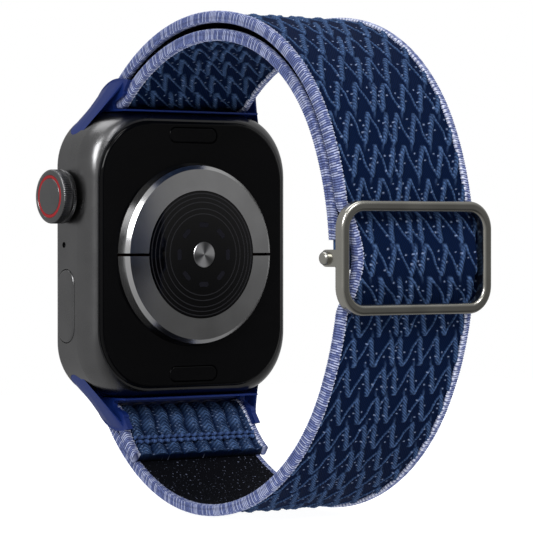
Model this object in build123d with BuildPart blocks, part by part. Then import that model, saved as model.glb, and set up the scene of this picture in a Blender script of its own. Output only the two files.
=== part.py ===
"""Wrist-worn activity tracker with an adjustable woven band, in millimetres.

The origin is on the axis of the wrist.  X runs along the wrist axis, Y points from the wrist
out through the display, and Z runs from the lower lug to the upper one.  The case stands at +Y
and the buckle at -Y.  Depths in the case are measured from the back cover's outer face.
"""
import os
from math import cos, radians, sin

from build123d import *

# ---- case ----
BACK_Y = 24.0                  # wrist axis to the back cover's outer face
CASE_HALF_W = 19.0
CASE_HALF_H = 22.0
CASE_CORNER = 8.5
CASE_FRONT = 9.9               # depth of the case's front edge
SHOULDER = 3.9                 # depth where the curved back edge reaches full width
BACK_HALF_W = 17.6             # case outline at its back edge
BACK_HALF_H = 20.9
BACK_CORNER = 9.6
BACK_EDGE = 0.3                # depth of the case's back edge
CAVITY_HALF_W = 16.4
CAVITY_HALF_H = 16.9
FLOOR = 2.2                    # depth of the cavity's floor
GLASS_SEAT = 9.6
GLASS_FRONT = 11.0
SLOT_DEPTH = 7.4               # lug slot, centre of its round bottom
SLOT_Z = 20.4
SLOT_R = 1.95
SLOT_NECK = 1.7                # half width of the slot's mouth
RUNNING_GAP = 0.06

# ---- crown, side button and release buttons ----
CROWN_DEPTH = 7.0
CROWN_Z = 8.9
CROWN_R = 4.15
CROWN_PROUD = 3.0
STEM_R = 1.5
CROWN_TRAVEL = 0.4
BUTTON_DEPTH = 6.9
BUTTON_Z = -7.9
BUTTON_LENGTH = 11.4
BUTTON_WIDTH = 4.6
MICROPHONE_DEPTH = 7.5
MICROPHONE_Z = 1.5
RELEASE_Z = 18.5
RELEASE_LENGTH = 9.0
RELEASE_WIDTH = 2.3
LOCK_R = 0.9
LOCK_Z = 19.9
LOCK_TIP = 6.15                # depth of a drawn-back lock pin's tip, inside the slot

# ---- sensor ----
ELECTRODE_R = 14.2
CRYSTAL_R = 9.8
SPLIT_GAP = 0.45

# ---- band ----
STRAP = 1.6                    # webbing thickness
STRAP_HALF_W = 11.5
BINDING = 1.9                  # width of each woven edge
FRONT_Y = -28.8                # outer face of the band at the buckle
FRONT_Z = -0.2
FRONT_R = 44.0
UP_ARCS = [(29.8, 50.8), (35.7, 57.0)]       # (radius, sweep) after the front arc
DOWN_ARCS = [(33.1, 61.2), (31.4, 52.2)]
UP_FRONT = 25.6                # sweep of the front arc above and below the buckle
DOWN_FRONT = 28.0
CLEAR_SWEEP = 17.2             # half sweep that the sliding buckle works in
WRAP_R = 2.15                  # outside of the webbing's turn round a lug bar
BAR_R = 0.5
TAIL_CLEAR = 4.1               # sweep left between the tail and the level of the centre bar
INNER_RADII = (33.2, 27.6, 41.6)             # inner layer, lying close under the outer one
BOTTOM_TURN = [(WRAP_R, 172.0)]
FLAP_SWEEP = 17.0              # how far the sewn end lies back along the band
ADAPTER_HALF_W = 12.6
EAR = 0.9                      # thickness of the cheek at each end of an adapter

# ---- buckle ----
FRAME_HALF_W = 13.75
FRAME_HALF_H = 8.0
FRAME_BAR = 1.55
FRAME_BACK_Y = -28.75
FRAME_THICK = 1.7
CENTRE_BAR_Y = -26.85
CENTRE_BAR_R = 0.6
BULGE = 1.4                    # how far the band stands proud in the buckle's window


def layer(depth):
    """Plane facing the display at a depth in the case; its axes are -X and Z."""
    return Plane(origin=(0, BACK_Y + depth, 0), x_dir=(-1, 0, 0), z_dir=(0, 1, 0))


def side(x):
    """Plane across the wrist axis at x; its axes are Y and Z."""
    return Plane.YZ.offset(x)


def outline(half_w, half_h, corner):
    """Rounded rectangle."""
    RectangleRounded(2 * half_w, 2 * half_h, corner)


def save(part, name):
    """Label a finished piece and write its file."""
    part.label = name
    export_step(part, f"parts/{name}.step")


def turn(vector, degrees):
    """A direction in the side plane turned anticlockwise."""
    a = radians(degrees)
    return Vector(vector.X * cos(a) - vector.Y * sin(a), vector.X * sin(a) + vector.Y * cos(a))


def walk(start, heading, arcs, hand):
    """Point and heading after tangent arcs; hand is 1 turning left and -1 turning right."""
    for radius, sweep in arcs:
        centre = start + turn(heading, 90 * hand) * radius
        start = centre + turn(start - centre, sweep * hand)
        heading = turn(heading, sweep * hand)
    return start, heading


def strip(start, heading, arcs, hand):
    """Profile of webbing whose outer face follows a chain of tangent arcs."""
    across = turn(heading, 90 * hand)
    with BuildSketch() as profile:
        with BuildLine():
            ends = []
            for level in (0, STRAP):
                point = start + across * level
                ends.append(point)
                tangent = heading
                for radius, sweep in arcs:
                    piece = JernArc(point, tangent, radius - level, sweep * hand)
                    point = piece @ 1
                    tangent = piece % 1
                ends.append(point)
            Line(ends[0], ends[2])
            Line(ends[1], ends[3])
        make_face()
    return profile.sketch


def webbing_and_binding(name, profile):
    """The woven middle of a stretch of band, and its two edges as one group."""
    middle = STRAP_HALF_W - BINDING
    with BuildPart() as webbing:
        with BuildSketch(side(-middle)):
            add(profile)
        extrude(amount=2 * middle)
    save(webbing.part, f"{name}_webbing")
    with BuildPart() as binding:
        for x in (-STRAP_HALF_W, middle):
            with BuildSketch(side(x)):
                add(profile)
            extrude(amount=BINDING)
    save(binding.part, f"{name}_binding")


def slot_profile(gap):
    """Keyhole section of a lug slot, taken in by a gap for the rail that slides in it."""
    Circle(SLOT_R - gap)
    with Locations((0, 1.6)):
        Rectangle(2 * (SLOT_NECK - gap), 3.2)


os.makedirs("parts", exist_ok=True)

# ---------------------------------------------------------------- case
sections = [
    (BACK_EDGE, BACK_HALF_W, BACK_HALF_H, BACK_CORNER),
    (1.0, 18.35, 21.5, 9.2),
    (2.2, 18.8, 21.85, 8.8),
    (SHOULDER, CASE_HALF_W, CASE_HALF_H, CASE_CORNER),
]
with BuildPart() as case_body:
    for depth, half_w, half_h, corner in sections:
        with BuildSketch(layer(depth)):
            outline(half_w, half_h, corner)
    loft()
    with BuildSketch(layer(SHOULDER)):
        outline(CASE_HALF_W, CASE_HALF_H, CASE_CORNER)
    extrude(amount=CASE_FRONT - SHOULDER)
    front_rim = case_body.edges().group_by(Axis.Y)[-1]
    fillet(front_rim, radius=0.8)
    with BuildSketch(layer(BACK_EDGE)):
        outline(BACK_HALF_W - 0.3, BACK_HALF_H - 0.3, BACK_CORNER - 0.3)
    extrude(amount=1.3, mode=Mode.SUBTRACT)
    with BuildSketch(layer(BACK_EDGE)):
        Circle(15.0)
    extrude(amount=FLOOR, mode=Mode.SUBTRACT)
    with BuildSketch(layer(FLOOR)):
        outline(CAVITY_HALF_W, CAVITY_HALF_H, 6.0)
    extrude(amount=CASE_FRONT, mode=Mode.SUBTRACT)
    with BuildSketch(layer(GLASS_SEAT)):
        outline(CASE_HALF_W - 1.2, CASE_HALF_H - 1.2, CASE_CORNER - 1.0)
    extrude(amount=CASE_FRONT, mode=Mode.SUBTRACT)
    for end in (1, -1):
        slot_plane = Plane(
            origin=(-CASE_HALF_W - 1, BACK_Y + SLOT_DEPTH, end * SLOT_Z), x_dir=(0, end, 0), z_dir=(1, 0, 0)
        )
        with BuildSketch(slot_plane):
            slot_profile(0)
        extrude(amount=2 * CASE_HALF_W + 2, mode=Mode.SUBTRACT)
        with BuildSketch(layer(BACK_EDGE)):
            with Locations((0, end * RELEASE_Z)):
                SlotOverall(RELEASE_LENGTH + 0.4, RELEASE_WIDTH + 0.4)
        extrude(amount=4.2, mode=Mode.SUBTRACT)
        with BuildSketch(layer(SLOT_DEPTH - 3.2)):
            with Locations((0, end * LOCK_Z)):
                Circle(LOCK_R + 0.2)
        extrude(amount=3.2, mode=Mode.SUBTRACT)
    with BuildSketch(Plane(origin=(-CASE_HALF_W - 1, BACK_Y + CROWN_DEPTH, CROWN_Z), x_dir=(0, 1, 0), z_dir=(1, 0, 0))):
        Circle(2.3)
    extrude(amount=6, mode=Mode.SUBTRACT)
    with BuildSketch(Plane(origin=(-CASE_HALF_W - 1, BACK_Y + BUTTON_DEPTH, BUTTON_Z), x_dir=(0, 0, 1), z_dir=(1, 0, 0))):
        SlotOverall(BUTTON_LENGTH, BUTTON_WIDTH)
    extrude(amount=6, mode=Mode.SUBTRACT)
    with BuildSketch(
        Plane(origin=(-CASE_HALF_W - 1, BACK_Y + MICROPHONE_DEPTH, MICROPHONE_Z), x_dir=(0, 1, 0), z_dir=(1, 0, 0))
    ):
        Circle(0.45)
    extrude(amount=6, mode=Mode.SUBTRACT)
    with BuildSketch(Plane(origin=(CASE_HALF_W + 1, BACK_Y + BUTTON_DEPTH, 0), x_dir=(0, 0, 1), z_dir=(-1, 0, 0))):
        with Locations((-5.2, 0), (5.2, 0)):
            SlotOverall(7.6, 1.2)
    extrude(amount=6, mode=Mode.SUBTRACT)
save(case_body.part, "case_body")

with BuildPart() as back_cover:
    with BuildSketch(layer(-0.1)):
        outline(BACK_HALF_W - 0.35, BACK_HALF_H - 0.35, BACK_CORNER - 0.35)
    extrude(amount=1.6)
    fillet(back_cover.edges().group_by(Axis.Y)[0], radius=0.5)
    with BuildSketch(layer(-0.1)):
        Circle(ELECTRODE_R + 0.05)
        with Locations((0, RELEASE_Z), (0, -RELEASE_Z)):
            SlotOverall(RELEASE_LENGTH + 0.2, RELEASE_WIDTH + 0.2)
    extrude(amount=2, mode=Mode.SUBTRACT)
save(back_cover.part, "back_cover")

# ---------------------------------------------------------------- sensor
for name, end in (("electrode_upper", 1), ("electrode_lower", -1)):
    with BuildPart() as electrode:
        with BuildSketch(Plane.XY):
            with BuildLine():
                Polyline(
                    (CRYSTAL_R + 0.1, BACK_Y + 1.4),
                    (CRYSTAL_R + 0.1, BACK_Y - 2.3),
                    (13.2, BACK_Y - 2.0),
                    (13.8, BACK_Y - 1.5),
                    (ELECTRODE_R, BACK_Y - 0.2),
                    (ELECTRODE_R, BACK_Y + 1.4),
                    close=True,
                )
            make_face()
        revolve(axis=Axis.Y)
        with BuildSketch(layer(-4)):
            with Locations((0, -end * (20 - SPLIT_GAP / 2))):
                Rectangle(40, 40)
        extrude(amount=8, mode=Mode.SUBTRACT)
    save(electrode.part, name)

window_places = PolarLocations(4.6, 8)
with BuildPart() as sensor_crystal:
    with BuildSketch(Plane.XY):
        with BuildLine():
            rim = (CRYSTAL_R, BACK_Y - 2.3)
            ThreePointArc((0, BACK_Y - 3.0), (CRYSTAL_R / 2, BACK_Y - 2.83), rim)
            Polyline(rim, (CRYSTAL_R, BACK_Y + 0.8), (0, BACK_Y + 0.8), (0, BACK_Y - 3.0))
        make_face()
    revolve(axis=Axis.Y)
    with BuildSketch(layer(-3.2)):
        Circle(2.05)
        with window_places:
            SlotOverall(1.8, 0.8, rotation=90)
    extrude(amount=1.4, mode=Mode.SUBTRACT)
save(sensor_crystal.part, "sensor_crystal")

with BuildPart() as sensor_centre:
    with BuildSketch(layer(-3.0)):
        Circle(2.03)
    extrude(amount=1.15)
    chamfer(sensor_centre.edges().group_by(Axis.Y)[0], length=0.1)
save(sensor_centre.part, "sensor_centre")

with BuildPart() as sensor_windows:
    with BuildSketch(layer(-2.86)):
        with window_places:
            SlotOverall(1.76, 0.76, rotation=90)
    extrude(amount=1.0)
save(sensor_windows.part, "sensor_windows")

with BuildPart() as charging_coil:
    with BuildSketch(layer(1.5)):
        Circle(13.8)
        Circle(7.0, mode=Mode.SUBTRACT)
    extrude(amount=0.5)
save(charging_coil.part, "charging_coil")

with BuildPart() as sensor_board:
    with BuildSketch(layer(2.3)):
        Circle(14.4)
    extrude(amount=0.5)
save(sensor_board.part, "sensor_board")

# ---------------------------------------------------------------- inside the case
blocks = [
    ("battery", 0.3, 4.8, 28.0, 20.5, 1.0, 3.0, 3.4),
    ("haptic_motor", -1.5, -11.6, 23.0, 7.6, 0.8, 3.0, 3.4),
    ("logic_board", 0.3, 0.0, 27.6, 31.0, 2.0, 6.6, 0.8),
    ("display_module", 0.0, 0.0, 31.6, 32.4, 5.6, 7.95, 1.55),
    ("loudspeaker", -15.45, 0.0, 1.5, 18.4, 0.4, 3.2, 4.5),
    ("side_button_switch", 16.4, BUTTON_Z, 1.0, 4.0, 0.3, 5.8, 2.0),
]
for name, across, height_z, width, height, corner, depth, thick in blocks:
    with BuildPart() as block:
        with BuildSketch(layer(depth)):
            with Locations((across, height_z)):
                RectangleRounded(width, height, corner)
        extrude(amount=thick)
    save(block.part, name)

with BuildPart() as board_screws:
    with BuildSketch(layer(7.4)):
        with Locations((-12.5, 14), (12.9, 14), (-12.5, -14), (12.9, -14)):
            Circle(0.8)
    extrude(amount=0.4)
save(board_screws.part, "board_screws")

with BuildPart() as display_gasket:
    with BuildSketch(layer(GLASS_SEAT)):
        outline(CASE_HALF_W - 1.3, CASE_HALF_H - 1.3, CASE_CORNER - 1.1)
    extrude(amount=0.15)
    with BuildSketch(layer(GLASS_SEAT)):
        outline(CASE_HALF_W - 2.1, CASE_HALF_H - 2.1, CASE_CORNER - 1.9)
    extrude(amount=0.15, mode=Mode.SUBTRACT)
save(display_gasket.part, "display_gasket")

with BuildPart() as display_glass:
    with BuildSketch(layer(GLASS_SEAT + 0.15)):
        outline(CASE_HALF_W - 1.25, CASE_HALF_H - 1.25, CASE_CORNER - 1.05)
    extrude(amount=GLASS_FRONT - GLASS_SEAT - 0.15)
    fillet(display_glass.edges().group_by(Axis.Y)[-1], radius=1.15)
save(display_glass.part, "display_glass")

# ---------------------------------------------------------------- crown


def crown_plane(x):
    """Plane across the crown's axis at x; extrusions go towards the case."""
    return Plane(origin=(x, BACK_Y + CROWN_DEPTH, CROWN_Z), x_dir=(0, 1, 0), z_dir=(1, 0, 0))


crown_face = -CASE_HALF_W - CROWN_PROUD
with BuildPart() as crown_bushing:
    with BuildSketch(crown_plane(-CASE_HALF_W)):
        Circle(2.28)
        Circle(STEM_R + RUNNING_GAP, mode=Mode.SUBTRACT)
    extrude(amount=2.4)
save(crown_bushing.part, "crown_bushing")

with BuildPart() as crown_knob:
    with BuildSketch(crown_plane(crown_face)):
        Circle(CROWN_R)
    extrude(amount=CROWN_PROUD - CROWN_TRAVEL - 0.1)
    fillet(crown_knob.edges().group_by(Axis.X)[0], radius=0.45)
    fillet(crown_knob.edges().group_by(Axis.X)[-1], radius=0.3)
    with BuildSketch(crown_plane(crown_face)):
        Circle(3.27)
    extrude(amount=0.5, mode=Mode.SUBTRACT)
save(crown_knob.part, "crown_knob")

with BuildPart() as crown_ring:
    with BuildSketch(crown_plane(crown_face + 0.05)):
        Circle(3.25)
        Circle(2.8, mode=Mode.SUBTRACT)
    extrude(amount=0.45)
save(crown_ring.part, "crown_ring")

with BuildPart() as crown_cap:
    with BuildSketch(crown_plane(crown_face - 0.05)):
        Circle(2.78)
    extrude(amount=0.55)
    fillet(crown_cap.edges().group_by(Axis.X)[0], radius=0.15)
save(crown_cap.part, "crown_cap")

with BuildPart() as crown_stem:
    with BuildSketch(crown_plane(-CASE_HALF_W - CROWN_TRAVEL - 0.1)):
        Circle(STEM_R)
    extrude(amount=CROWN_TRAVEL + 0.1 + 2.3)
save(crown_stem.part, "crown_stem")

with BuildPart() as crown_plunger:
    with BuildSketch(crown_plane(-CASE_HALF_W + 2.32)):
        Circle(0.6)
    extrude(amount=1.3)
save(crown_plunger.part, "crown_plunger")

# ---------------------------------------------------------------- buttons and microphone
with BuildPart() as side_button:
    with BuildSketch(
        Plane(origin=(-CASE_HALF_W - 0.2, BACK_Y + BUTTON_DEPTH, BUTTON_Z), x_dir=(0, 0, 1), z_dir=(1, 0, 0))
    ):
        SlotOverall(BUTTON_LENGTH - 0.16, BUTTON_WIDTH - 0.16)
    extrude(amount=1.8)
    fillet(side_button.edges().group_by(Axis.X)[0], radius=0.35)
save(side_button.part, "side_button")

with BuildPart() as microphone_mesh:
    with BuildSketch(
        Plane(origin=(-CASE_HALF_W + 0.5, BACK_Y + MICROPHONE_DEPTH, MICROPHONE_Z), x_dir=(0, 1, 0), z_dir=(1, 0, 0))
    ):
        Circle(0.44)
    extrude(amount=0.3)
save(microphone_mesh.part, "microphone_mesh")

for place, end in (("top", 1), ("bottom", -1)):
    with BuildPart() as release_button:
        with BuildSketch(layer(-0.05)):
            with Locations((0, end * RELEASE_Z)):
                SlotOverall(RELEASE_LENGTH, RELEASE_WIDTH)
        extrude(amount=2.5)
        fillet(release_button.edges().group_by(Axis.Y)[0], radius=0.2)
    save(release_button.part, f"release_button_{place}")

    with BuildPart() as release_spring:
        with BuildSketch(Plane.XY.offset(end * RELEASE_Z - 0.8)):
            with BuildLine():
                for level in (0, 0.15):
                    ThreePointArc(
                        (-3.4, BACK_Y + 4.2 + level), (0, BACK_Y + 2.65 + level), (3.4, BACK_Y + 4.2 + level)
                    )
                for x in (-3.4, 3.4):
                    Line((x, BACK_Y + 4.2), (x, BACK_Y + 4.35))
            make_face()
        extrude(amount=1.6)
    save(release_spring.part, f"release_spring_{place}")

# ---------------------------------------------------------------- band routes
front = Vector(FRONT_Y, FRONT_Z)
up = Vector(0, 1)
down = Vector(0, -1)
top_end, top_heading = walk(front, up, [(FRONT_R, UP_FRONT)] + UP_ARCS, -1)
top_bar = top_end + turn(top_heading, -90) * WRAP_R
bottom_end, bottom_heading = walk(front, down, [(FRONT_R, DOWN_FRONT)] + DOWN_ARCS, 1)
bottom_bar = bottom_end + turn(bottom_heading, 90) * WRAP_R
inner_heading = turn(top_heading, 180)
inner_start = top_bar + turn(inner_heading, 90) * (WRAP_R - STRAP)
outer_start, outer_heading = walk(front, up, [(FRONT_R, CLEAR_SWEEP)], -1)
lower_start, lower_heading = walk(front, down, [(FRONT_R, CLEAR_SWEEP)], 1)
inner_sweeps = [UP_ARCS[1][1], UP_ARCS[0][1], UP_FRONT - CLEAR_SWEEP]
inner_arcs = list(zip(INNER_RADII, inner_sweeps))
tail_arc = [(INNER_RADII[-1], CLEAR_SWEEP - TAIL_CLEAR)]
tail_start, tail_heading = walk(inner_start, inner_heading, inner_arcs, 1)


outer_arcs = [(FRONT_R, UP_FRONT - CLEAR_SWEEP)] + UP_ARCS
lower_arcs = [(FRONT_R, DOWN_FRONT - CLEAR_SWEEP)] + DOWN_ARCS
webbing_and_binding("outer", strip(outer_start, outer_heading, outer_arcs, -1))
webbing_and_binding("lower", strip(lower_start, lower_heading, lower_arcs, 1))
webbing_and_binding("inner", strip(inner_start, inner_heading, inner_arcs, 1))


def across_band(name, profile):
    """A short piece of band made the whole width at once."""
    with BuildPart() as piece:
        with BuildSketch(side(-STRAP_HALF_W)):
            add(profile)
        extrude(amount=2 * STRAP_HALF_W)
    save(piece.part, name)


def flap():
    """Profile of the sewn end, lying back against the inside of the single layer."""
    near, near_heading = walk(bottom_end, bottom_heading, BOTTOM_TURN, 1)
    across = turn(near_heading, 90)
    arcs = [(FRONT_R, DOWN_FRONT), DOWN_ARCS[0], (DOWN_ARCS[1][0], DOWN_ARCS[1][1] - FLAP_SWEEP)]
    far, far_heading = walk(front, down, arcs, 1)
    inward = turn(far_heading, 90)
    with BuildSketch() as profile:
        with BuildLine():
            Polyline(
                near,
                near + across * STRAP,
                far + inward * (STRAP + 0.05),
                far + inward * (2 * STRAP + 0.05),
                close=True,
            )
        make_face()
    return profile.sketch


def rise(end):
    """Profile of half of the band's rise over the centre bar; end is 1 above it and -1 below."""
    start = outer_start if end == 1 else lower_start
    heading = (outer_heading if end == 1 else lower_heading) * -1
    under_bar, bar_heading = walk(front, up if end == 1 else down, [(FRONT_R, 9.6)], -end)
    crest = Vector(FRONT_Y - BULGE, FRONT_Z)
    with BuildSketch() as profile:
        with BuildLine():
            ends = []
            for level in (0, STRAP):
                first = start + turn(heading, 90 * end) * level
                middle = under_bar + turn(bar_heading, -90 * end) * level
                last = crest + Vector(level, 0)
                Spline(first, middle, last, tangents=(heading, down if end == 1 else up))
                ends += [first, last]
            Line(ends[0], ends[2])
            Line(ends[1], ends[3])
        make_face()
    return profile.sketch


across_band("top_wrap", strip(top_end, top_heading, [(WRAP_R, 180.0)], -1))
across_band("bottom_wrap", strip(bottom_end, bottom_heading, BOTTOM_TURN, 1))
across_band("sewn_flap", flap())
across_band("inner_tail", strip(tail_start, tail_heading, tail_arc, 1))
across_band("front_upper", rise(1))
across_band("front_lower", rise(-1))

with BuildPart() as end_loop:
    with BuildSketch(side(-STRAP_HALF_W)):
        with Locations((CENTRE_BAR_Y, FRONT_Z)):
            Circle(CENTRE_BAR_R + 1.05)
        with BuildLine():
            Polyline(
                (CENTRE_BAR_Y, FRONT_Z),
                (CENTRE_BAR_Y + 1.6, FRONT_Z + 0.2),
                (CENTRE_BAR_Y + 1.9, FRONT_Z + 2.4),
                (CENTRE_BAR_Y + 0.3, FRONT_Z + 2.4),
                close=True,
            )
        make_face()
        with Locations((CENTRE_BAR_Y, FRONT_Z)):
            Circle(CENTRE_BAR_R + 0.02, mode=Mode.SUBTRACT)
    extrude(amount=2 * STRAP_HALF_W)
save(end_loop.part, "end_loop")

# ---------------------------------------------------------------- lug adapters
for place, end, bar in (("top", 1, top_bar), ("bottom", -1, bottom_bar)):
    rail_plane = Plane(
        origin=(-CASE_HALF_W, BACK_Y + SLOT_DEPTH, end * SLOT_Z), x_dir=(0, end, 0), z_dir=(1, 0, 0)
    )
    with BuildPart() as rail:
        with BuildSketch(rail_plane):
            slot_profile(RUNNING_GAP)
        extrude(amount=2 * CASE_HALF_W)
        with BuildSketch(layer(0)):
            outline(CASE_HALF_W - 0.1, CASE_HALF_H + 0.05, CASE_CORNER)
        extrude(amount=CASE_FRONT, mode=Mode.INTERSECT)

    with BuildPart() as adapter:
        with BuildSketch(Plane(origin=(-ADAPTER_HALF_W, BACK_Y, 0), x_dir=(0, 1, 0), z_dir=(1, 0, 0))):
            with BuildLine():
                crown_line = Spline(
                    (9.3, end * 22.02),
                    (8.3, end * 23.75),
                    (6.5, end * 25.55),
                    (4.2, end * 26.7),
                    (1.2, end * 26.95),
                )
                Line(crown_line @ 1, (-0.6, end * 26.6))
                Line((-0.6, end * 26.6), (0.6, end * 25.0))
                notch = Spline((0.6, end * 25.0), (2.6, end * 23.7), (3.6, end * 23.0), (3.3, end * 22.35))
                Polyline(notch @ 1, (0.1, end * 22.25), (0.1, end * 22.02), crown_line @ 0)
            make_face()
        extrude(amount=2 * ADAPTER_HALF_W)
        with BuildSketch(side(EAR - ADAPTER_HALF_W)):
            with Locations((bar.X, bar.Y)):
                Circle(WRAP_R + 0.25)
            with BuildLine():
                Polyline(
                    (bar.X, bar.Y + end * (WRAP_R + 0.6)),
                    (bar.X, end * 22.4),
                    (BACK_Y - 2, end * 22.4),
                    (BACK_Y - 2, end * 28.5),
                    (bar.X, end * 28.5),
                    close=True,
                )
            make_face()
        extrude(amount=2 * (ADAPTER_HALF_W - EAR), mode=Mode.SUBTRACT)
        add(rail.part)
        with BuildSketch(side(EAR - ADAPTER_HALF_W - 0.5)):
            with Locations((bar.X, bar.Y)):
                Circle(BAR_R + 0.01)
        extrude(amount=2 * (ADAPTER_HALF_W - EAR) + 1.0, mode=Mode.SUBTRACT)
        with BuildSketch(layer(SLOT_DEPTH - 2.2)):
            with Locations((0, end * LOCK_Z)):
                Circle(LOCK_R + RUNNING_GAP)
        extrude(amount=3.6, mode=Mode.SUBTRACT)
    save(adapter.part, f"lug_adapter_{place}")

    with BuildPart() as lug_bar:
        with BuildSketch(side(EAR - ADAPTER_HALF_W - 0.48)):
            with Locations((bar.X, bar.Y)):
                Circle(BAR_R)
        extrude(amount=2 * (ADAPTER_HALF_W - EAR) + 0.96)
    save(lug_bar.part, f"lug_bar_{place}")

    with BuildPart() as lock_pin:
        with BuildSketch(layer(LOCK_TIP)):
            with Locations((0, end * LOCK_Z)):
                Circle(LOCK_R)
        extrude(amount=7.8 - LOCK_TIP)
        fillet(lock_pin.edges().group_by(Axis.Y)[0], radius=0.3)
    save(lock_pin.part, f"lock_pin_{place}")

    with BuildPart() as lock_spring:
        with BuildSketch(layer(7.85)):
            with Locations((0, end * LOCK_Z)):
                Circle(0.7)
                Circle(0.45, mode=Mode.SUBTRACT)
        extrude(amount=0.9)
    save(lock_spring.part, f"lock_spring_{place}")

# ---------------------------------------------------------------- buckle
frame_plane = Plane(origin=(0, FRAME_BACK_Y, FRONT_Z), x_dir=(1, 0, 0), z_dir=(0, -1, 0))
with BuildPart() as buckle_frame:
    with BuildSketch(frame_plane):
        RectangleRounded(2 * FRAME_HALF_W, 2 * FRAME_HALF_H, 4.0)
        RectangleRounded(
            2 * (FRAME_HALF_W - FRAME_BAR), 2 * (FRAME_HALF_H - FRAME_BAR), 2.5, mode=Mode.SUBTRACT
        )
    extrude(amount=FRAME_THICK)
    fillet(buckle_frame.edges().group_by(Axis.Y)[0], radius=0.5)
    fillet(buckle_frame.edges().group_by(Axis.Y)[-1], radius=0.3)
    for x in (-FRAME_HALF_W, FRAME_HALF_W - FRAME_BAR + 0.05):
        with BuildSketch(side(x)):
            with Locations((CENTRE_BAR_Y, FRONT_Z)):
                Circle(1.2)
            with Locations(((CENTRE_BAR_Y + FRAME_BACK_Y) / 2 - 0.3, FRONT_Z)):
                Rectangle(CENTRE_BAR_Y - FRAME_BACK_Y + 0.6, 2.4)
        extrude(amount=FRAME_BAR - 0.05)
    with BuildSketch(side(-FRAME_HALF_W - 1)):
        with Locations((CENTRE_BAR_Y, FRONT_Z)):
            Circle(CENTRE_BAR_R + 0.01)
    extrude(amount=2 * FRAME_HALF_W + 2, mode=Mode.SUBTRACT)
save(buckle_frame.part, "buckle_frame")

with BuildPart() as centre_bar:
    with BuildSketch(side(-FRAME_HALF_W)):
        with Locations((CENTRE_BAR_Y, FRONT_Z)):
            Circle(CENTRE_BAR_R)
    extrude(amount=2 * FRAME_HALF_W)
    for x in (-FRAME_HALF_W - 0.8, FRAME_HALF_W):
        with BuildSketch(side(x)):
            with Locations((CENTRE_BAR_Y, FRONT_Z)):
                Circle(0.95)
        extrude(amount=0.8)
    fillet(centre_bar.edges().group_by(Axis.X)[0], radius=0.55)
    fillet(centre_bar.edges().group_by(Axis.X)[-1], radius=0.55)
save(centre_bar.part, "centre_bar")
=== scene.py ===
"""Dressed model of a wrist-worn activity tracker on its adjustable woven band.

Sizes in the classes are millimetres in the part's own frame: X runs along the wrist axis, Y points
out through the display and Z runs from the lower lug to the upper one.  Meshes are made in metres.
"""
import logging
from dataclasses import dataclass, field

import bmesh
import bpy
import numpy as np
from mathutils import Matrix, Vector


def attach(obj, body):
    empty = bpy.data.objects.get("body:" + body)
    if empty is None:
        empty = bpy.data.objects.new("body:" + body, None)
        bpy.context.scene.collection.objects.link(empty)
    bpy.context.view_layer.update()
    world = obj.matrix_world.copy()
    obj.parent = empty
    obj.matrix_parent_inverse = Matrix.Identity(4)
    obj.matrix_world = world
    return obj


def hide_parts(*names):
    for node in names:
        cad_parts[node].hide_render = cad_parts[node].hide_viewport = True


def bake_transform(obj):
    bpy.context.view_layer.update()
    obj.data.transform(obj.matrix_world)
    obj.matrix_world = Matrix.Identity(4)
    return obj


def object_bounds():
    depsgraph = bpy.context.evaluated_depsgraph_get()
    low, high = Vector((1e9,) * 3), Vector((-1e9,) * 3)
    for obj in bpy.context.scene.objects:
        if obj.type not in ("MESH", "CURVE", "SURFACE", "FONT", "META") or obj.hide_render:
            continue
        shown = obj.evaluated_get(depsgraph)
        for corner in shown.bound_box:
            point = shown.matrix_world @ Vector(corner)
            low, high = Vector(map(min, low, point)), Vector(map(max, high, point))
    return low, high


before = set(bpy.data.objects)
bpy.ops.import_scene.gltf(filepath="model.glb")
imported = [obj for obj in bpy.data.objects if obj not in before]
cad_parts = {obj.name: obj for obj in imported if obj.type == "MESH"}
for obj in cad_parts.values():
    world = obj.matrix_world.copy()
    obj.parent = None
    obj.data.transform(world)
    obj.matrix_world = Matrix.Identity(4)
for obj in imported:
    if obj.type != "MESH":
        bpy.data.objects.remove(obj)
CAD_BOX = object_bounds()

LOG = logging.getLogger("tracker")
MM = 0.001
TAU = 2 * np.pi
KNIT_ACROSS, KNIT_ALONG = 0.42, 0.5  # pitch of the plain knit between the cords

Array = np.ndarray
Levels = tuple[int, int, int]
Pair = tuple[float, float]
Triple = tuple[float, float, float]
Material = bpy.types.Material
Piece = bpy.types.Object
Socket = bpy.types.NodeSocket


# ---------------------------------------------------------------- shader writing
def tint(red: int, green: int, blue: int) -> tuple[float, float, float, float]:
    """Linear colour of display levels from 0 to 255, by the standard curve, with an alpha of 1."""
    level = np.array([red, green, blue]) / 255
    linear = np.where(level <= 0.04045, level / 12.92, ((level + 0.055) / 1.055) ** 2.4)
    return (*linear.tolist(), 1.0)


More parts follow.
